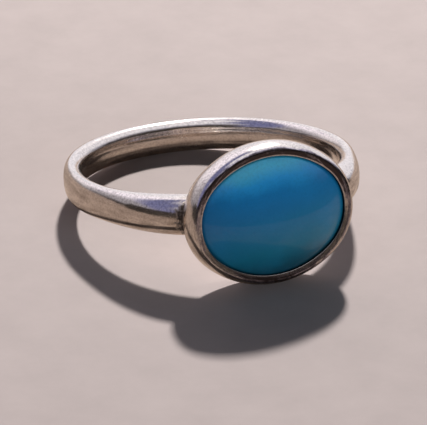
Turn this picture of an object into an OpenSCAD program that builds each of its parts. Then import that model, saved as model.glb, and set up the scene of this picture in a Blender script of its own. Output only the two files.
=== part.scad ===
// Silver ring with an oval turquoise cabochon, lying on its side as it rests by itself:
// on the lower rim of the bezel and on the back of the shank.

/* [Shank] */
// Radius of the finger hole
finger_r = 8.65; // [8.3:0.05:9.1]
// Thickness of the band from its inner wall to the crown, at the back
band_t = 1.25; // [1.1:0.05:1.6]
// Width of the band along the finger, at the back
band_w = 2.25; // [2:0.05:3]
// Radius of the softened inner edges
inner_edge_r = 0.4; // [0.3:0.05:0.45]
// Height of the band's flat sides, between its inner edges and its crown
side_t = 0.35; // [0.2:0.05:0.4]

/* [Shoulders] */
// Extra thickness of the band where it meets the bezel
shoulder_t = 0.85; // [0.6:0.05:1]
// Extra width of the band where it meets the bezel
shoulder_w = 0.4; // [0:0.05:0.8]
// Angle from the bezel at which the band starts to swell
shoulder_start = 75; // [60:1:90]
// Angle from the bezel at which the swelling is full
shoulder_full = 31; // [28:1:40]

/* [Bezel] */
// Half of the bezel's length, across the finger
bezel_a = 5.8; // [5.6:0.05:6.2]
// Half of the bezel's width, along the finger
bezel_b = 4.8; // [4.6:0.05:5.2]
// Radius of the bezel's two rounder ends
end_r = 4.2; // [3.9:0.05:4.4]
// Distance from the finger's axis to the back of the bezel
bezel_base = 9.3; // [9.25:0.05:9.5]
// Height of the bezel from its back to the top of its lip
bezel_h = 1.95; // [1.95:0.05:2.2]
// Height at which the bulged wall is widest
belly_h = 0.9; // [0.7:0.05:1]
// How far the wall tucks in from its widest line to its back
base_tuck = 0.25; // [0.1:0.05:0.4]
// Thickness of the closed back plate
plate_t = 0.5; // [0.4:0.05:0.6]
// Thickness of the wall at its widest line
wall_t = 0.4; // [0.35:0.05:0.5]
// Distance inward from the widest line to the start of the flattened lip
crest_in = 0.42; // [0.38:0.02:0.5]
// How far the flattened lip falls towards the stone
lip_fall = 0.04; // [0:0.01:0.05]

/* [Stone] */
// Height of the stone's upright edge above the back of the bezel
girdle_h = 1.3; // [1.2:0.05:1.3]
// Rise of the dome above the upright edge
dome_h = 2; // [1.8:0.1:2.1]
// How far the lip reaches over the stone's edge
lip_over = 0.35; // [0.3:0.05:0.4]
// Gap between the stone and the silver
stone_gap = 0.05; // [0.04:0.01:0.06]

/* [Hidden] */
$fn = 144;

// The oval outline is four arcs: two round ends and two flatter sides that run into them level
end_x = bezel_a - end_r;
end_gap = bezel_b - end_r;
side_y = (end_x * end_x - end_gap * end_gap) / (2 * end_gap);
side_r = bezel_b + side_y;
end_angle = atan2(side_y, end_x);
// The wall below its widest line is an elliptic arc that ends this far round, at the back plate
tuck_angle = 60;
tuck_rx = base_tuck / (1 - cos(tuck_angle));
tuck_ry = belly_h / sin(tuck_angle);
// Distances inward from the widest line to the stone's edge and to the lip
stone_in = wall_t + stone_gap;
lip_in = stone_in + lip_over;
// Bevel between the stone's flat back and its upright edge
stone_bevel = 0.15;
// Share of the dome's rise that is a plain bowl shape, the rest being its steeper shoulder
bowl_share = 0.74;
// Distance outward from the hole's wall at which the band's crown begins, and its fullness,
// where 2 is an ellipse and more is boxier
crown_from = inner_edge_r + side_t;
crown_power = 2.4;
// Spacing of the band's cross-sections, of the points round a curved edge and round the stone
station_step = 5;
arc_step = 15;
dome_step = 6;
// Last angle of an inner edge's arc, just short of the finger hole's wall
edge_arc_end = 165;
// How far the rough band reaches into the finger hole before the hole is cut
bore_stock = 0.2;
// Length of a cut that goes right through
cut = 8;

// Points along an elliptic arc from one angle to another
function arc(cx, cy, rx, ry, from, to, step) =
    [for (q = [from : step : to]) [cx + rx * cos(q), cy + ry * sin(q)]];

// 0 at x = 0 and 1 at x = 1, level at both ends
function ease(x) = let (c = min(max(x, 0), 1)) c * c * (3 - 2 * c);

// Share of the full swelling at an angle from the bezel
function swelling(f) = ease((shoulder_start - abs(f)) / (shoulder_start - shoulder_full));

// Drop of the dome below its top, where s runs from 0 at the middle to 1 at the edge
function dome_drop(s) = dome_h * (bowl_share * pow(s, 2) + (1 - bowl_share) * pow(s, 6));

// Point of the oval moved outward by an offset, where its outline faces the direction q
function oval_point(q, offset) =
    abs(sin(q)) < sin(end_angle)
    ? [sign(cos(q)) * end_x + (end_r + offset) * cos(q), (end_r + offset) * sin(q)]
    : [(side_r + offset) * cos(q), (side_r + offset) * sin(q) - sign(sin(q)) * side_y];

// Points round a band's crown, from its bottom to its top
function crown_arc(t, w) =
    [for (q = [-90 : arc_step : 90])
        [crown_from + (t - crown_from) * pow(cos(q), 2 / crown_power),
         w / 2 * sign(q) * pow(abs(sin(q)), 2 / crown_power)]];

// Reach of a crown of thickness t and width w in a direction of a given share outward and along
function crown_reach(t, w, out, along) =
    let (p = crown_power / (crown_power - 1))
    crown_from * out + pow(pow((t - crown_from) * out, p) + pow(w / 2 * along, p), 1 / p);

// Cross-section of the band as [distance outward from the hole's wall, distance along the finger]
function band_section(t, w) =
    let (
        inner_z = w / 2 - inner_edge_r,
        crown = crown_arc(t, w),
        top_edge = arc(inner_edge_r, inner_z, inner_edge_r, inner_edge_r, 90, edge_arc_end, 25),
        top = concat(top_edge, [[-bore_stock, top_edge[len(top_edge) - 1].y]]),
        bottom = [for (i = [len(top) - 1 : -1 : 0]) [top[i].x, -top[i].y]]
    )
    concat(crown, top, bottom);

// The resting pose: the bezel's lower rim and the back of the band touch the same level.
// With the finger's axis leaning by an angle, each function gives a reach from the hole's centre.
function rim_drop(lean) =
    (bezel_b - tuck_rx) * cos(lean) + norm([tuck_rx * cos(lean), tuck_ry * sin(lean)])
    - (bezel_base + belly_h) * sin(lean);
function back_drop(lean) =
    finger_r * sin(lean) + crown_reach(band_t, band_w, sin(lean), cos(lean));
function back_reach(lean) =
    finger_r * cos(lean) + crown_reach(band_t, band_w, cos(lean), sin(lean));
function dome_reach(lean) =
    max([for (s = [0 : 0.01 : 1])
        (bezel_base + girdle_h + dome_h - dome_drop(s)) * cos(lean)
        + s * (bezel_b - stone_in) * sin(lean)]);
function rest_lean(low, high, left) =
    let (mid = (low + high) / 2)
    left == 0 ? mid
    : rim_drop(mid) > back_drop(mid) ? rest_lean(mid, high, left - 1)
    : rest_lean(low, mid, left - 1);
lean = rest_lean(0, 30, 40);

// The origin lies under the middle of the ring's length and width, on the surface it rests on
module resting() {
    translate([0, (dome_reach(lean) - back_reach(lean)) / 2, back_drop(lean)])
        rotate([-lean, 0, 0]) children();
}

// Stands a shape that is built upward on the back of the bezel, facing away from the finger
module on_bezel_back() {
    rotate([90, 0, 0]) translate([0, 0, bezel_base]) children();
}

// A closed solid skinned over rings of the oval outline, from its bottom to its top.
// Each ring is [offset from the widest line, height], and a scale may shrink it about its middle.
module oval_loft(rings, top_h, scales = []) {
    turns = [for (q = [0 : station_step : 360 - station_step]) q];
    n = len(turns);
    m = len(rings);
    skin = [for (k = [0 : m - 1]) for (q = turns)
        let (s = k < len(scales) ? scales[k] : 1)
        [each (s * oval_point(q, rings[k].x)), rings[k].y]];
    points = concat([[0, 0, rings[0].y]], skin, [[0, 0, top_h]]);
    top = m * n + 1;
    sides = [for (k = [0 : m - 2]) for (j = [0 : n - 1])
        let (a = 1 + k * n, j2 = (j + 1) % n)
        each [[a + j, a + n + j, a + n + j2], [a + j, a + n + j2, a + j2]]];
    bottom_fan = [for (j = [0 : n - 1]) [0, 1 + j, 1 + (j + 1) % n]];
    top_fan = [for (j = [0 : n - 1]) [top, top - n + (j + 1) % n, top - n + j]];
    polyhedron(points, concat(bottom_fan, sides, top_fan));
}

// The band, swept round the finger through its changing cross-section, before the hole is cut
module rough_band() {
    angles = [for (f = [0 : station_step : 360 - station_step]) f > 180 ? f - 360 : f];
    sections = [for (f = angles) band_section(band_t + shoulder_t * swelling(f),
                                              band_w + shoulder_w * swelling(f))];
    n = len(sections[0]);
    m = len(angles);
    points = [for (i = [0 : m - 1]) for (p = sections[i])
        [(finger_r + p.x) * sin(angles[i]), -(finger_r + p.x) * cos(angles[i]), p.y]];
    faces = [for (i = [0 : m - 1]) for (j = [0 : n - 1])
        let (i2 = (i + 1) % m, j2 = (j + 1) % n)
        each [[i * n + j, i2 * n + j2, i2 * n + j], [i * n + j, i * n + j2, i2 * n + j2]]];
    polyhedron(points, faces);
}

// The closed cup before it is hollowed: tucked-in foot, bulged wall, shoulder, flattened lip
module rough_bezel() {
    foot = arc(-tuck_rx, belly_h, tuck_rx, tuck_ry, -tuck_angle, 0, arc_step);
    shoulder = arc(-crest_in, belly_h, crest_in, bezel_h - belly_h, arc_step, 90, arc_step);
    lip = [-lip_in, bezel_h - lip_fall];
    oval_loft(concat(foot, shoulder, [lip]), lip.y);
}

// Room for the stone, leaning in over its edge to the opening of the lip
module stone_room() {
    lip_s = 1 - lip_over / (bezel_b - stone_in);
    lip_h = girdle_h + dome_h - dome_drop(lip_s) + stone_gap;
    oval_loft([[-wall_t, plate_t], [-wall_t, girdle_h + stone_gap / 2],
               [-lip_in, lip_h], [-lip_in, cut]], cut);
}

// Smooth cabochon: flat back, small bevel, upright edge, round dome with a steeper shoulder
module cabochon() {
    back_h = plate_t + stone_gap;
    edge = [[-stone_in - stone_bevel, back_h], [-stone_in, back_h + stone_bevel],
            [-stone_in, girdle_h]];
    shrink = [for (q = [dome_step : dome_step : 90 - dome_step]) cos(q)];
    dome = [for (s = shrink) [-stone_in, girdle_h + dome_h - dome_drop(s)]];
    oval_loft(concat(edge, dome), girdle_h + dome_h, concat([for (ring = edge) 1], shrink));
}

module silver_ring() {
    color([0.78, 0.77, 0.76]) resting() difference() {
        union() {
            rough_band();
            on_bezel_back() rough_bezel();
        }
        cylinder(h = cut, r = finger_r, center = true);
        on_bezel_back() stone_room();
    }
}

module turquoise_stone() {
    color([0.15, 0.5, 0.62]) resting() on_bezel_back() cabochon();
}

silver_ring();
turquoise_stone();
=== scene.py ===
"""Silver finger ring with an oval turquoise cabochon, lying on its side on a pale floor."""

import math

import bmesh
import bpy
from mathutils import Matrix, Vector, noise


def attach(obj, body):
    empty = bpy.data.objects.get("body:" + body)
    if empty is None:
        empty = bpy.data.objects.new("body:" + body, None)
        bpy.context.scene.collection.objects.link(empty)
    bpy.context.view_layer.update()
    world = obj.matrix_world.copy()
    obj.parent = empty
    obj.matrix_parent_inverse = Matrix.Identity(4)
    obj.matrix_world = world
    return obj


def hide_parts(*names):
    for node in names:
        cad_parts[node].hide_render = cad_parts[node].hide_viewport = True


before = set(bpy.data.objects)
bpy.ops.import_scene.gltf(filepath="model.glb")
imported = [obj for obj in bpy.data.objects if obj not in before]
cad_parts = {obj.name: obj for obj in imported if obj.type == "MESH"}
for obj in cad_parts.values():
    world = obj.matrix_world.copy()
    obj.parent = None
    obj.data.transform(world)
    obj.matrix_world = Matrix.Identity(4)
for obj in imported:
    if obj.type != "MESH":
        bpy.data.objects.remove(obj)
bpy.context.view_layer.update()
bpy.ops.object.select_all(action="DESELECT")

# Sizes in millimetres and degrees, the same as the solids have
FINGER_R = 8.65
BAND_T = 1.25
BAND_W = 2.25
CROWN_FROM = 0.75
CROWN_POWER = 2.4
SHOULDER_T = 0.85
SHOULDER_W = 0.4
SHOULDER_START = 75
SHOULDER_FULL = 31
BEZEL_A = 5.8
BEZEL_B = 4.8
END_R = 4.2
BEZEL_BASE = 9.3
BEZEL_H = 1.95
BELLY_H = 0.9
BASE_TUCK = 0.25
PLATE_T = 0.5
WALL_T = 0.4
CREST_IN = 0.42
LIP_FALL = 0.04
GIRDLE_H = 1.3
DOME_H = 2
LIP_OVER = 0.35
STONE_GAP = 0.05
STONE_BEVEL = 0.15
BOWL_SHARE = 0.74

# Wear that the solids leave out: the bow of the band's inner wall, the thickness and width of its
# eased inner edges, and the rolled inner edge of the lip
WALL_BOW = 0.06
EASED_T = 0.6
EASED_W = 0.62
EASED_POWER = 2
LIP_EDGE_R = 0.05

# The bead of solder: its radius, how much it thickens at the shoulders, its lumps and its crust
BEAD_R = 0.1
BEAD_SWELL = 0.12
BEAD_LUMP = 0.04
LUMPS_IN_MM = 2.3
CRUST_GRAIN = 0.25
CRUST_DEPTH = 0.08

STONE_IN = WALL_T + STONE_GAP
LIP_IN = STONE_IN + LIP_OVER
TUCK_ANGLE = math.radians(60)
TUCK_RX = BASE_TUCK / (1 - math.cos(TUCK_ANGLE))
TUCK_RY = BELLY_H / math.sin(TUCK_ANGLE)
END_X = BEZEL_A - END_R
END_GAP = BEZEL_B - END_R
SIDE_Y = (END_X ** 2 - END_GAP ** 2) / (2 * END_GAP)
SIDE_R = BEZEL_B + SIDE_Y
END_ANGLE = math.atan2(SIDE_Y, END_X)

# Half of the bar that is bent round into the band, the number of its sections, a distance that
# counts as none, and how nearly upright the normal of a level face is
BAR_HALF = math.pi * FINGER_R
STATIONS = 180
NEAR = 0.001
LEVEL = 0.9

# The ring rests on the lower rim of its bezel and the back of its band
LEAN = math.asin(0.185635)
HOLE_Y = 1.350832
HOLE_Z = 2.859613
METRE = Matrix.Scale(0.001, 4)
RESTING = METRE @ Matrix.Translation((0, HOLE_Y, HOLE_Z)) @ Matrix.Rotation(-LEAN, 4, "X")
ON_BEZEL_BACK = (RESTING @ Matrix.Rotation(math.radians(90), 4, "X")
                 @ Matrix.Translation((0, 0, BEZEL_BASE)))
IN_MM = 1000


# Modelling

def single_point(name, at):
    """Starts a piece as one selected point, in edit mode."""
    bpy.ops.mesh.primitive_plane_add(size=1)
    piece = bpy.context.object
    piece.name = name
    bpy.ops.object.mode_set(mode="EDIT")
    bpy.ops.mesh.select_mode(type="VERT")
    bpy.ops.mesh.merge(type="CENTER")
    bpy.ops.transform.translate(value=at)
    return piece


def sweep(steps, degrees, centre):
    """Carries the selected point round a centre, against the clock."""
    bpy.ops.mesh.spin(steps=steps, angle=-math.radians(degrees), center=centre, axis=(0, 0, 1))


def step_up(value):
    """Extrudes what is selected along a vector."""
    bpy.ops.mesh.extrude_region_move(TRANSFORM_OT_translate={"value": value})


def pick(piece, kind, test):
    """Selects only the vertices or faces that pass a test of their place or normal."""
    bpy.ops.mesh.select_mode(type=kind)
    bpy.ops.mesh.select_all(action="DESELECT")
    shape = bmesh.from_edit_mesh(piece.data)
    for item in shape.verts if kind == "VERT" else shape.faces:
        item.select_set(test(item))
    shape.select_flush_mode()
    bmesh.update_edit_mesh(piece.data)


def merge_doubles(distance=NEAR):
    bpy.ops.mesh.select_all(action="SELECT")
    bpy.ops.mesh.remove_doubles(threshold=distance)


def finish_piece(piece, place, angle):
    """Leaves edit mode, puts the mesh in its place and smooths it up to an angle."""
    bpy.ops.mesh.select_all(action="SELECT")
    bpy.ops.mesh.normals_make_consistent(inside=False)
    bpy.ops.object.mode_set(mode="OBJECT")
    piece.matrix_world = place
    bpy.ops.object.transform_apply(location=True, rotation=True, scale=True)
    bpy.ops.object.shade_smooth_by_angle(angle=math.radians(angle))
    piece.select_set(False)


def oval_disc(name, inward, height, end_steps, side_steps):
    """A flat oval of four arcs, a distance inward from the bezel's widest line."""
    piece = single_point(name, (BEZEL_A - inward, 0, height))
    end = math.degrees(END_ANGLE)
    side = 180 - 2 * end
    sweep(end_steps, end, (END_X, 0, height))
    sweep(side_steps, side, (0, -SIDE_Y, height))
    sweep(2 * end_steps, 2 * end, (-END_X, 0, height))
    sweep(side_steps, side, (0, SIDE_Y, height))
    sweep(end_steps, end, (END_X, 0, height))
    merge_doubles()
    bpy.ops.mesh.edge_face_add()
    return piece


def raise_slab(piece, height):
    """Thickens the flat oval upward and leaves its top face selected."""
    step_up((0, 0, height))
    bpy.ops.mesh.select_all(action="SELECT")
    bpy.ops.mesh.normals_make_consistent(inside=False)
    pick(piece, "FACE", lambda f: f.normal.z > LEVEL)


def inset_along(profile):
    """Steps the selected oval face through [inward, height] points of a profile."""
    for (was_in, was_h), (now_in, now_h) in zip(profile, profile[1:]):
        bpy.ops.mesh.inset(thickness=now_in - was_in, depth=now_h - was_h)


def ease(x):
    """0 up to x = 0 and 1 from x = 1, level at both ends."""
    c = min(max(x, 0), 1)
    return c * c * (3 - 2 * c)


def swelling(from_bezel):
    """Share of the shoulders' full swelling, at an angle from the bezel."""
    return ease((SHOULDER_START - abs(from_bezel)) / (SHOULDER_START - SHOULDER_FULL))


def make_shank():
    """A half-round bar, drawn thicker and wider towards its ends, bent round into a ring."""
    shank = draw_section("shank")
    reach = 2 * BAR_HALF / STATIONS
    grow_section(shank, -BAR_HALF, 0, swelling(0))
    for i in range(STATIONS):
        x = -BAR_HALF + i * reach
        pick(shank, "VERT", lambda v: abs(v.co.x - x) < NEAR)
        step_up((reach, 0, 0))
        grow_section(shank, x + reach, swelling(station_angle(i)), swelling(station_angle(i + 1)))
    bpy.ops.object.mode_set(mode="OBJECT")
    bend = shank.modifiers.new("round the finger", "SIMPLE_DEFORM")
    bend.deform_method = "BEND"
    bend.deform_axis = "Z"
    bend.angle = -2 * math.pi
    bpy.ops.object.modifier_apply(modifier=bend.name)
    bpy.ops.object.mode_set(mode="EDIT")
    bpy.ops.mesh.select_all(action="SELECT")
    bpy.ops.transform.translate(value=(0, FINGER_R, 0))
    merge_doubles(0.01)
    # The bar ends inside the bezel's back plate
    bpy.ops.mesh.select_all(action="SELECT")
    bpy.ops.mesh.bisect(plane_co=(0, -BEZEL_BASE - PLATE_T / 2, 0), plane_no=(0, -1, 0),
                        use_fill=True, clear_outer=True)
    finish_piece(shank, RESTING, angle=40)
    return shank


def draw_section(name):
    """The band's outline, drawn flat and then stood up across one end of the bar."""
    outline = band_outline()
    piece = single_point(name, outline[0])
    for at, to in zip(outline, outline[1:] + outline[:1]):
        step_up(to - at)
    merge_doubles()
    bpy.ops.object.mode_set(mode="OBJECT")
    piece.matrix_world = Matrix(((0, 0, 1, -BAR_HALF), (0, 1, 0, 0), (1, 0, 0, 0), (0, 0, 0, 1)))
    bpy.ops.object.transform_apply(location=True, rotation=True, scale=True)
    bpy.ops.object.mode_set(mode="EDIT")
    bpy.ops.mesh.select_all(action="SELECT")
    return piece


def band_outline():
    """The band's section as (across, outward) points: domed outside, eased edges, bowed wall."""
    half = BAND_W / 2
    flat = half - EASED_W
    crown = [rounded(q, CROWN_POWER, half, BAND_T - CROWN_FROM) for q in range(0, 181, 5)]
    edge = [rounded(q, EASED_POWER, EASED_W, EASED_T) for q in range(0, 91, 10)]
    edge = [(flat + across, WALL_BOW + EASED_T - inward) for across, inward in edge]
    wall = [(flat * i / 6, WALL_BOW * (i / 6) ** 2) for i in range(-5, 6)]
    outline = [(across, CROWN_FROM + outward) for across, outward in crown]
    outline += [(-across, outward) for across, outward in edge] + wall + edge[::-1]
    return [Vector((across, outward, 0)) for across, outward in outline]


def rounded(q, power, across, outward):
    """Point at an angle q round a boxy or bevelled ellipse of the given two reaches."""
    return (across * stretched(math.cos(math.radians(q)), 2 / power),
            outward * stretched(math.sin(math.radians(q)), 2 / power))


def stretched(value, power):
    """A power that keeps the sign of its value."""
    return math.copysign(abs(value) ** power, value)


def station_angle(i):
    """Angle from the bezel of a station along the bar."""
    return min(i, STATIONS - i) * 360 / STATIONS


def grow_section(shank, x, before, after):
    """Widens the section at x, and thickens its crown."""
    bpy.ops.transform.resize(
        value=(1, 1, (BAND_W + SHOULDER_W * after) / (BAND_W + SHOULDER_W * before)),
        center_override=(x, 0, 0))
    pick(shank, "VERT", lambda v: abs(v.co.x - x) < NEAR and v.co.y > CROWN_FROM + NEAR)
    crown = BAND_T - CROWN_FROM
    bpy.ops.transform.resize(
        value=(1, (crown + SHOULDER_T * after) / (crown + SHOULDER_T * before), 1),
        center_override=(x, CROWN_FROM, 0))


def make_bezel():
    """The oval cup: inset upward over the stone's edge and downward to its back plate."""
    thin = 0.02
    bezel = oval_disc("bezel", 0, BELLY_H - thin / 2, end_steps=18, side_steps=30)
    raise_slab(bezel, thin)
    rub = [math.radians(a) for a in range(0, 91, 6)]
    inset_along([(CREST_IN * (1 - math.cos(a)), (BEZEL_H - BELLY_H) * math.sin(a)) for a in rub])
    edge_in = LIP_IN - LIP_EDGE_R
    inset_along([(CREST_IN + (edge_in - CREST_IN) * i / 4, -LIP_FALL * i / 4) for i in range(5)])
    roll = [math.radians(a) for a in range(0, 91, 30)]
    inset_along([(LIP_EDGE_R * math.sin(a), LIP_EDGE_R * math.cos(a)) for a in roll])
    under_lip = GIRDLE_H + STONE_GAP / 2
    step_up((0, 0, under_lip - BEZEL_H + LIP_FALL + LIP_EDGE_R))
    bpy.ops.transform.resize(value=((BEZEL_A - WALL_T) / (BEZEL_A - LIP_IN),
                                    (BEZEL_B - WALL_T) / (BEZEL_B - LIP_IN), 1),
                             center_override=(0, 0, under_lip))
    step_up((0, 0, PLATE_T - under_lip))
    pick(bezel, "FACE", lambda f: len(f.verts) > 4 and f.normal.z < 0)
    tuck = [TUCK_ANGLE * i / 10 for i in range(11)]
    inset_along([(TUCK_RX * (1 - math.cos(a)), TUCK_RY * math.sin(a)) for a in tuck])
    finish_piece(bezel, ON_BEZEL_BACK, angle=40)
    return bezel


def dome_drop(s):
    """Drop of the dome below its top, where s runs from 0 at the middle to 1 at the edge."""
    return DOME_H * (BOWL_SHARE * s ** 2 + (1 - BOWL_SHARE) * s ** 6)


def make_stone():
    """The cabochon: flat back, small bevel, upright edge and a round dome."""
    back = PLATE_T + STONE_GAP
    stone = oval_disc("cabochon", STONE_IN, back + STONE_BEVEL, end_steps=24, side_steps=40)
    raise_slab(stone, GIRDLE_H - back - STONE_BEVEL)
    was = 1
    height = GIRDLE_H
    for q in range(4, 88, 4):
        now = math.cos(math.radians(q))
        rise = GIRDLE_H + DOME_H - dome_drop(now) - height
        step_up((0, 0, rise))
        height += rise
        bpy.ops.transform.resize(value=(now / was, now / was, 1), center_override=(0, 0, height))
        was = now
    step_up((0, 0, GIRDLE_H + DOME_H - height))
    bpy.ops.mesh.merge(type="CENTER")
    pick(stone, "FACE", lambda f: len(f.verts) > 4 and f.normal.z < -LEVEL)
    bpy.ops.mesh.inset(thickness=STONE_BEVEL, depth=STONE_BEVEL)
    finish_piece(stone, ON_BEZEL_BACK, angle=30)
    return stone


def trace_seam():
    """Points round the joint of band and bezel, each with its nearness to a shoulder's tip."""
    tip = (FINGER_R + BAND_T + SHOULDER_T) ** 2 - BEZEL_BASE ** 2
    reach = math.sqrt(tip) - NEAR
    path = []
    steps = 60
    for side in (1, -1):
        for i in range(steps):
            turn = math.pi * (i / steps - 0.5)
            x = side * reach * math.sin(turn)
            swell = swelling(math.degrees(math.atan2(abs(x), BEZEL_BASE)))
            crown = BAND_T + SHOULDER_T * swell - CROWN_FROM
            half = (BAND_W + SHOULDER_W * swell) / 2
            out = max(0, math.hypot(x, BEZEL_BASE) - FINGER_R - CROWN_FROM) / crown
            along = half * max(0, 1 - out ** CROWN_POWER) ** (1 / CROWN_POWER)
            path.append((Vector((x, -BEZEL_BASE, side * along)), abs(math.sin(turn))))
    return path


def make_solder(path):
    """The seam that joins band and bezel: a thin bead, lumpy and thicker at the shoulders."""
    curve = bpy.data.curves.new("solder", "CURVE")
    curve.dimensions = "3D"
    curve.bevel_depth = 1
    curve.bevel_resolution = 4
    line = curve.splines.new("POLY")
    line.points.add(len(path) - 1)
    line.use_cyclic_u = True
    for point, (at, tip) in zip(line.points, path):
        point.co = (*at, 1)
        lump = noise.noise(at * LUMPS_IN_MM)
        point.radius = BEAD_R + BEAD_SWELL * tip ** 6 + BEAD_LUMP * lump
    solder = bpy.data.objects.new("solder", curve)
    bpy.context.scene.collection.objects.link(solder)
    bpy.context.view_layer.objects.active = solder
    solder.select_set(True)
    bpy.ops.object.convert(target="MESH")
    solder = bpy.context.object
    crust = bpy.data.textures.new("crust", "CLOUDS")
    crust.noise_scale = CRUST_GRAIN
    rough = solder.modifiers.new("crust", "DISPLACE")
    rough.texture = crust
    rough.strength = CRUST_DEPTH
    bpy.ops.object.modifier_apply(modifier=rough.name)
    bpy.ops.object.mode_set(mode="EDIT")
    finish_piece(solder, RESTING, angle=180)
    return solder


# Marks on the meshes, which the finishes read. Each takes a point in millimetres, on the ring
# before it is laid down.

# How far the seam's tarnish reaches
SEAM_REACH = 1.6
# Where the lip's patina and painted reflection begin, how soon full, inward from the bezel's
# widest line
LIP_DARKENING_FROM = 0.12
LIP_DARKENING_RISE = 0.3
# How far the painted shade on the stone's edge shows from under the lip, and how softly it ends
STONE_SHADE_LINE = 0.16
STONE_SHADE_FADE = 0.14
# A little slack, so that an edge's own points count as on it
SLACK = 0.01


def mark_nearness(piece, name, measure):
    """Keeps a number from 0 to 1 on each vertex."""
    mark = piece.data.attributes.new(name, "FLOAT", "POINT")
    back = RESTING.inverted()
    mark.data.foreach_set("value", [measure(back @ v.co) for v in piece.data.vertices])


def seam_nearness(at):
    """1 on the seam and 0 where its tarnish ends."""
    near = min((at - point).length for point, _ in seam_path)
    return max(0, 1 - near / SEAM_REACH)


def on_upper_wall(at):
    """Whether a point of the bezel lies above its widest line."""
    return -at.y - BEZEL_BASE > BELLY_H


def crevice_shade_nearness(at):
    """Dirt and painted shade: 1 on the lip's inner edge, where it meets the stone, and under it.
    """
    return 1 if on_upper_wall(at) and oval_inward(at.x, at.z) > LIP_IN - SLACK else 0


def lip_share(at):
    """1 on the flattened lip, less on the rubbed wall and where the lip is rubbed: patina and
    painted reflection.
    """
    inward = oval_inward(at.x, at.z)
    if not on_upper_wall(at) or inward > LIP_IN - LIP_EDGE_R - SLACK:
        return 0
    turn = math.atan2(at.z, at.x)
    lower_left = rubbed(turn, bearing=208, share=0.75, narrowness=5)
    lower_right = rubbed(turn, bearing=-30, share=0.6, narrowness=3)
    return ease((inward - LIP_DARKENING_FROM) / LIP_DARKENING_RISE) * (1 - lower_left - lower_right)


def rubbed(turn, bearing, share, narrowness):
    """Wear that is strongest at one bearing round the bezel and gone a quarter turn away."""
    return share * max(0, math.cos(turn - math.radians(bearing))) ** narrowness


def stone_shade_share(at):
    """Painted shade: 1 on the stone where it goes under the lip, and 0 a little further in."""
    return ease((LIP_IN + STONE_SHADE_LINE - oval_inward(at.x, at.z)) / STONE_SHADE_FADE)


def oval_inward(x, z):
    """How far a point lies inside the bezel's widest line."""
    x, z = abs(x), abs(z)
    if math.atan2(z, x - END_X) < END_ANGLE and x > END_X:
        return END_R - math.hypot(x - END_X, z)
    return SIDE_R - math.hypot(x, z + SIDE_Y)


# Finishes

BARE_SILVER = (0.82, 0.76, 0.71, 1)
WORN_SPECKS = (0.36, 0.32, 0.31, 1)
DULL_SILVER = (0.5, 0.4, 0.31, 1)
# Lip: lilac tarnish with painted reflection of blue sky, and brown patina with painted dark
# reflection
LILAC_TARNISH_AND_REFLECTION = (0.3, 0.27, 0.36, 1)
BROWN_PATINA_AND_REFLECTION = (0.07, 0.052, 0.045, 1)
SEAM_TARNISH = (0.05, 0.032, 0.024, 1)
# Dirt and painted shade in the crevice under the lip
CREVICE_DIRT_AND_SHADE = (0.06, 0.045, 0.04, 1)
SOLDER_OXIDE = (0.05, 0.033, 0.025, 1)
WORN_SOLDER = (0.45, 0.38, 0.31, 1)
# Stone colour from bottom to top, with painted light at the top and painted shade at the bottom
STONE_BLUES_PAINTED_LIGHT = [(0.02, (0.002, 0.05, 0.075)), (0.26, (0.003, 0.165, 0.265)),
               (0.5, (0.003, 0.18, 0.37)), (0.6, (0.003, 0.18, 0.42)),
               (0.72, (0.004, 0.21, 0.52)), (0.82, (0.02, 0.4, 0.88)), (0.92, (0.07, 0.67, 1))]
STONE_CLOUD = (0.01, 0.25, 0.5, 1)
STONE_GRAIN = (0.004, 0.09, 0.2, 1)
# Painted shade round the stone's edge, under the lip
STONE_EDGE_SHADE = (0.002, 0.014, 0.022, 1)
# The floor's two tones as the camera sees it, and as the polish does
FLOOR_TONES = (0.41, 0.356, 0.355, 1), (0.52, 0.455, 0.452, 1)
FLOOR_IN_POLISH = (0.13, 0.09, 0.07, 1), (0.48, 0.38, 0.32, 1)
DARK_FELT = (0.03, 0.025, 0.022, 1)
# What the polish reflects, from the horizon up: haze behind the ring, blue high on its left, and
# the sky overhead
HAZE = [(0.5, (0.2, 0.18, 0.18)), (0.55, (0.55, 0.5, 0.52)), (0.6, (0.95, 0.9, 0.96)),
        (0.7, (1.05, 1, 1.11)), (0.8, (1.15, 1.1, 1.24))]
HAZE_LEFT = (0.38, 0.36, 0.4, 1)
BLUE_SKY = [(0.5, (0.05, 0.045, 0.04)), (0.57, (0.06, 0.05, 0.055)), (0.61, (0.23, 0.23, 0.38)),
            (0.8, (0.2, 0.21, 0.4)), (0.95, (0.17, 0.18, 0.35))]
OVERHEAD = [(0.35, (0.045, 0.04, 0.035)), (0.5, (0.07, 0.06, 0.06)), (0.58, (0.16, 0.15, 0.17)),
            (0.7, (0.42, 0.42, 0.49)), (0.85, (0.93, 0.92, 1))]
LOW_LEFT = (0.06, 0.05, 0.05, 1)
# The light for all else: next to none, and soft light from behind the ring
UNLIT = (0.01, 0.009, 0.01, 1)
BACK_LIGHT = (1, 0.9, 0.96, 1)


class Number:
    """A shader socket that takes part in sums: each operator adds a Math node."""

    def __init__(self, finish, socket):
        self.finish = finish
        self.socket = socket

    def combine(self, operation, *terms):
        return self.finish.node("ShaderNodeMath", {"operation": operation},
                                dict(enumerate(terms)))

    def __add__(self, other):
        return self.combine("ADD", self, other)

    def __mul__(self, other):
        return self.combine("MULTIPLY", self, other)

    def __sub__(self, other):
        return self.combine("SUBTRACT", self, other)

    def __rsub__(self, other):
        return self.combine("SUBTRACT", other, self)

    def __pow__(self, other):
        return self.combine("POWER", self, other)

    __radd__ = __add__
    __rmul__ = __mul__


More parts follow.
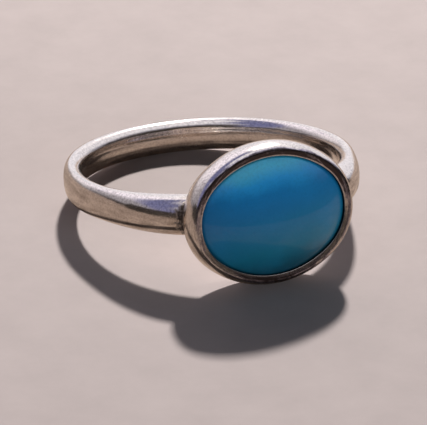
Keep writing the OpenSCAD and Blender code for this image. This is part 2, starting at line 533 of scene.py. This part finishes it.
class Finish:
    """A node tree, built by calls that each add a node and give back one of its outputs."""

    def __init__(self, tree):
        self.tree = tree

    def node(self, kind, settings=None, inputs=None, output=0):
        made = self.tree.nodes.new(kind)
        for name, value in (settings or {}).items():
            if name == "stops":
                self.set_stops(made.color_ramp, value)
            else:
                setattr(made, name, value)
        for name, value in (inputs or {}).items():
            if isinstance(value, Number):
                self.tree.links.new(value.socket, made.inputs[name])
            else:
                made.inputs[name].default_value = value
        return Number(self, made.outputs[output])

    def set_stops(self, ramp, stops):
        while len(ramp.elements) < len(stops):
            ramp.elements.new(1)
        for element, (at, colour) in zip(ramp.elements, stops):
            element.position = at
            element.color = (*colour, 1)

    def ramp(self, stops, value):
        return self.node("ShaderNodeValToRGB", {"stops": stops}, {0: value})

    def axes(self, vector):
        """The three numbers of a vector."""
        parts = self.node("ShaderNodeSeparateXYZ", {}, {0: vector})
        return [Number(self, output) for output in parts.socket.node.outputs]

    def mark(self, name):
        """A number that is kept on the mesh."""
        return self.node("ShaderNodeAttribute", {"attribute_name": name}, output="Fac")

    def noise(self, vector, scale, detail=3, rough=0.5):
        return self.node("ShaderNodeTexNoise", {}, {"Vector": vector, "Scale": scale,
                                                    "Detail": detail, "Roughness": rough})

    def spread(self, value, low, high, to_low=0, to_high=1):
        """Maps low..high of a value onto another range, and holds it there."""
        return self.node("ShaderNodeMapRange", {}, {0: value, 1: low, 2: high, 3: to_low,
                                                    4: to_high})

    def blend(self, share, one, other):
        """Mixes two colours."""
        return self.node("ShaderNodeMix", {"data_type": "RGBA"}, {0: share, 6: one, 7: other},
                         output=2)

    def bump(self, height, depth, strength=1):
        """Relief of a depth in metres."""
        return self.node("ShaderNodeBump", {}, {"Strength": strength, "Distance": depth,
                                                "Height": height})


def new_finish(name):
    material = bpy.data.materials.new(name)
    material.use_nodes = True
    return material, Finish(material.node_tree), material.node_tree.nodes["Principled BSDF"]


def feed(finish, shader, **sockets):
    """Sets or links the shader's sockets, whose names have _ for a space."""
    for name, value in sockets.items():
        socket = shader.inputs[name.replace("_", " ")]
        if isinstance(value, Number):
            finish.tree.links.new(value.socket, socket)
        else:
            socket.default_value = value


def ring_place(finish):
    """Object coordinates in millimetres from the hole's centre, with the ring's lean undone."""
    centre = Matrix.Rotation(LEAN, 3, "X") @ Vector((0, HOLE_Y, HOLE_Z))
    object_place = finish.node("ShaderNodeTexCoord", output="Object")
    return finish.node("ShaderNodeMapping", {}, {
        "Vector": object_place, "Location": -centre, "Rotation": (LEAN, 0, 0),
        "Scale": (IN_MM, IN_MM, IN_MM)})


def polish_lines(finish, place, about_finger):
    """Coordinates stretched along the way a piece was polished: round the band or the rim."""
    x, y, z = finish.axes(place)
    one, other, along = (x, y, z) if about_finger else (x, z, y)
    radius = (one * one + other * other) ** 0.5
    turn = one.combine("ARCTAN2", one, other)
    polished_r = 9.5 if about_finger else 5
    lines_along, lines_across = 0.35, 5
    return finish.node("ShaderNodeCombineXYZ", {}, {
        0: turn * (polished_r * lines_along), 1: radius * lines_across, 2: along * lines_across})


def silver_finish(name, about_finger):
    """Polished silver: softly uneven, lined along the polish, dark with tarnish at the seam;
    patina and painted reflection on the lip.
    """
    material, finish, shader = new_finish(name)
    place = ring_place(finish)
    polish = polish_lines(finish, place, about_finger)
    uneven = finish.noise(place, 0.55, 2)
    lines = finish.noise(polish, 1, 4, 0.7)
    streaks = finish.noise(polish, 0.9, 5, 0.6)
    slanted = finish.node("ShaderNodeMapping", {}, {
        "Vector": place, "Rotation": (0.4, 0.9, 0.7), "Scale": (0.5, 9, 9)})
    scratches = finish.noise(slanted, 1, 2)
    grime = finish.noise(place, 3.5, 5, 0.65)
    pits = finish.noise(place, 15, 3, 0.7)
    specks = finish.spread(finish.noise(place, 7, 4, 0.7), 0.44, 0.64)

    seam, crevice, lip = (finish.mark(mark) for mark in ("seam", "crevice", "lip"))
    dull = finish.spread(seam + (grime - 0.5) * 1.2, 0.05, 0.75)
    tarnish = finish.spread(seam + (grime - 0.5) * 1.1, 0.58, 0.8)
    # Lip: brown patina with a painted dark reflection, and lilac tarnish with a painted reflection
    # of blue sky
    lip_oxide_and_reflection = lip + (streaks - 0.5) * 1.9 + (grime - 0.5) * 0.8
    bloom_and_reflection = finish.spread(lip_oxide_and_reflection, 0.3, 0.6)
    patina_and_reflection = finish.spread(lip_oxide_and_reflection, 0.58, 0.92)
    # Dirt and painted shade in the crevice where the lip meets the stone
    dirt_and_shade = finish.spread(crevice + (grime - 0.5) * 0.7, 0.35, 0.85)

    metal = finish.blend(specks * 0.5, BARE_SILVER, WORN_SPECKS)
    metal = finish.blend(dull * 0.5, metal, DULL_SILVER)
    metal = finish.blend(bloom_and_reflection * 0.8, metal, LILAC_TARNISH_AND_REFLECTION)
    metal = finish.blend(patina_and_reflection * 0.9, metal, BROWN_PATINA_AND_REFLECTION)
    metal = finish.blend(tarnish * 0.9, metal, SEAM_TARNISH)
    metal = finish.blend(dirt_and_shade * 0.8, metal, CREVICE_DIRT_AND_SHADE)
    roughness = (0.12 + finish.spread(lines, 0.4, 0.75) * 0.12
                 + finish.spread(scratches, 0.55, 0.75) * 0.1 + tarnish * 0.45 + dirt_and_shade * 0.2
                 + patina_and_reflection * 0.2)
    height = (uneven + lines * 0.035 + scratches * 0.02 + pits * 0.025 + streaks * bloom_and_reflection * 0.1
              + grime * tarnish * 1.2)
    feed(finish, shader, Base_Color=metal, Metallic=1 - tarnish * 0.85, Roughness=roughness,
         Normal=finish.bump(height, 3e-5))
    return material


def solder_finish():
    """Old solder: dark brown oxide with worn grey silver showing on its high spots."""
    material, finish, shader = new_finish("tarnished solder")
    grime = finish.noise(ring_place(finish), 4, 5, 0.7)
    worn = finish.spread(grime, 0.5, 0.68)
    feed(finish, shader, Base_Color=finish.blend(worn, SOLDER_OXIDE, WORN_SOLDER),
         Metallic=0.3 + worn * 0.7, Roughness=0.65 - worn * 0.3, Normal=finish.bump(grime, 5e-5))
    return material


def turquoise_finish():
    """Close-grained blue stone with faint clouds and a soft waxy polish; its colour has painted
    light at the top, painted shade at the bottom and round its edge.
    """
    material, finish, shader = new_finish("polished turquoise")
    place = ring_place(finish)
    clouds = finish.noise(place, 0.22, 3, 0.55)
    grain = finish.noise(place, 6, 4, 0.6)
    across, _, up = finish.axes(place)
    # Painted light and shade: lighter towards the stone's top and a little towards its left,
    # darker towards its bottom
    colour = finish.ramp(STONE_BLUES_PAINTED_LIGHT, up * 0.115 - across * 0.022 + 0.5 + (clouds - 0.5) * 0.25)
    colour = finish.blend(finish.spread(clouds, 0.45, 0.75) * 0.35, colour, STONE_CLOUD)
    colour = finish.blend(finish.spread(grain, 0.45, 0.75, 0, 0.18), colour, STONE_GRAIN)
    # Painted shade: a dark line round the stone's edge, where it goes under the lip
    colour = finish.blend(finish.mark("edge") * 0.8, colour, STONE_EDGE_SHADE)
    feed(finish, shader, Base_Color=colour, Roughness=0.5 + grain * 0.1,
         Normal=finish.bump(grain + clouds * 3, 2e-6, strength=0.6),
         IOR=1.5, Coat_Weight=0.6, Coat_Roughness=0.06)
    return material


def floor_finish():
    """A plain pale floor, which shows a little darker and earthier in the silver's polish."""
    material, finish, shader = new_finish("pale floor")
    place = finish.node("ShaderNodeTexCoord", output="Object")
    mottle = finish.noise(place, 260, 6, 0.65)
    plain = finish.blend(mottle, *FLOOR_TONES)
    earthy = finish.blend(finish.spread(mottle, 0.35, 0.65), *FLOOR_IN_POLISH)
    in_polish = finish.node("ShaderNodeLightPath", output="Is Glossy Ray")
    feed(finish, shader, Base_Color=finish.blend(in_polish, plain, earthy), Roughness=0.9)
    return material


# Floor, camera and light

def lay_floor():
    bpy.ops.mesh.primitive_plane_add(size=1.2)
    floor = bpy.context.object
    floor.name = "floor"
    floor.data.materials.append(floor_finish())


def look_at_ring():
    """Puts the camera where the photographer stood, from a fit of the ring's outlines."""
    turn, rise, roll = (math.radians(a) for a in (-22.659, 27.397, 1.905))
    distance, aside, above, pixels_per_mm = 245, -0.319, 2.733, 14.816
    back = Vector((math.sin(turn) * math.cos(rise), -math.cos(turn) * math.cos(rise),
                   math.sin(rise)))
    right = Vector((math.cos(turn), math.sin(turn), 0))
    up = back.cross(right)
    at = Vector((0, HOLE_Y, HOLE_Z)) + distance * back - aside * right - above * up
    across = math.cos(roll) * right + math.sin(roll) * up
    upward = math.cos(roll) * up - math.sin(roll) * right
    camera_data = bpy.data.cameras.new("camera")
    camera = bpy.data.objects.new("camera", camera_data)
    bpy.context.scene.collection.objects.link(camera)
    bpy.context.scene.camera = camera
    axes = Matrix((across, upward, back)).transposed().to_4x4()
    camera.matrix_world = Matrix.Translation(at / IN_MM) @ axes
    image_width = 427
    camera_data.sensor_fit = "HORIZONTAL"
    camera_data.lens = camera_data.sensor_width * pixels_per_mm * distance / image_width
    camera_data.clip_start = 0.01


def dark_flag(radius, height, open_from):
    """A low dark screen in front, which only the silver and the stone see in their polish."""
    bpy.ops.mesh.primitive_circle_add(vertices=48, radius=radius)
    flag = bpy.context.object
    flag.name = "flag"
    bpy.ops.object.mode_set(mode="EDIT")
    pick(flag, "VERT", lambda v: v.co.y > open_from)
    bpy.ops.mesh.delete(type="VERT")
    bpy.ops.mesh.select_all(action="SELECT")
    step_up((0, 0, height))
    bpy.ops.object.mode_set(mode="OBJECT")
    material, finish, shader = new_finish("dark felt")
    feed(finish, shader, Base_Color=DARK_FELT, Roughness=1)
    flag.data.materials.append(material)
    flag.visible_camera = False
    flag.visible_diffuse = False
    flag.visible_shadow = False


def area_light(name, bearing, rise, distance, size, power, colour, in_polish=True):
    """A soft square light that faces the ring. Bearing 0 is straight behind it, seen along +Y."""
    bearing, rise = math.radians(bearing), math.radians(rise)
    toward = Vector((math.sin(bearing) * math.cos(rise), math.cos(bearing) * math.cos(rise),
                     math.sin(rise)))
    light_data = bpy.data.lights.new(name, "AREA")
    light_data.energy = power
    light_data.size = size
    light_data.color = colour
    light = bpy.data.objects.new(name, light_data)
    bpy.context.scene.collection.objects.link(light)
    light.visible_glossy = in_polish
    light.matrix_world = (Matrix.Translation(toward * distance)
                          @ toward.to_track_quat("Z", "Y").to_matrix().to_4x4())


def studio_surround():
    """What the polish reflects, and a softer light from behind the ring for all else.

    The reflected dome is pale behind the ring, lilac high on the left, and on the right and in
    front it is dark at the horizon and bright overhead.
    """
    world = bpy.data.worlds.new("studio")
    bpy.context.scene.world = world
    world.use_nodes = True
    finish = Finish(world.node_tree)
    x, y, z = finish.axes(finish.node("ShaderNodeTexCoord", output="Generated"))
    height = z * 0.5 + 0.5
    haze = finish.blend(finish.spread(x, -0.8, -0.35), HAZE_LEFT, finish.ramp(HAZE, height))
    to_left = finish.blend(finish.spread(z - y * 0.6, 0.34, 0.5), haze,
                           finish.ramp(BLUE_SKY, height))
    low_left = finish.spread(x, -0.7, -0.9) * finish.spread(z, 0.2, 0.08)
    to_left = finish.blend(low_left, to_left, LOW_LEFT)
    overhead = finish.ramp(OVERHEAD, (y + z * 1.3) * 0.5 + 0.5)
    in_front = finish.spread(y, 0.15, -0.1) * finish.spread(x, -0.45, -0.2)
    front_left = finish.spread(y, -0.22, -0.45) * finish.spread(x, -0.8, -0.65)
    zenith = finish.spread(z, 0.92, 0.96)
    under_sky = finish.spread(x, 0, 0.22)
    for part in (in_front, front_left, zenith):
        under_sky = under_sky.combine("MAXIMUM", under_sky, part)
    dome = finish.blend(under_sky, to_left, overhead)
    soft = finish.blend(finish.spread(y, 0.55, 0.95), UNLIT, BACK_LIGHT)
    in_polish = finish.node("ShaderNodeLightPath", output="Is Glossy Ray")
    bounces = finish.node("ShaderNodeLightPath", output="Diffuse Depth")
    light = finish.blend(in_polish * finish.spread(bounces, 1, 0), soft, dome)
    background = world.node_tree.nodes["Background"]
    finish.tree.links.new(light.socket, background.inputs["Color"])


shank = make_shank()
bezel = make_bezel()
stone = make_stone()
seam_path = trace_seam()
solder = make_solder(seam_path)

mark_nearness(shank, "seam", seam_nearness)
mark_nearness(bezel, "seam", seam_nearness)
# The crevice mark carries dirt and painted shade
mark_nearness(bezel, "crevice", crevice_shade_nearness)
# The lip mark carries patina and painted reflection
mark_nearness(bezel, "lip", lip_share)
# The stone's edge mark carries painted shade under the lip
mark_nearness(stone, "edge", stone_shade_share)

for piece in (shank, bezel, solder):
    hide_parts("silver_ring")
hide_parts("turquoise_stone")
for piece, material in ((shank, silver_finish("band silver", True)),
                        (bezel, silver_finish("bezel silver", False)),
                        (solder, solder_finish()), (stone, turquoise_finish())):
    piece.data.materials.append(material)
    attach(piece, "root")

lay_floor()
look_at_ring()
dark_flag(radius=0.05, height=0.018, open_from=0.01)
area_light("key", bearing=27, rise=43.5, distance=0.5, size=0.035, power=3.7,
           colour=(1, 0.95, 0.9))
area_light("fill", bearing=165, rise=12, distance=0.4, size=0.2, power=0.66,
           colour=(0.85, 0.93, 1), in_polish=False)
studio_surround()
bpy.context.scene.view_settings.view_transform = "Standard"
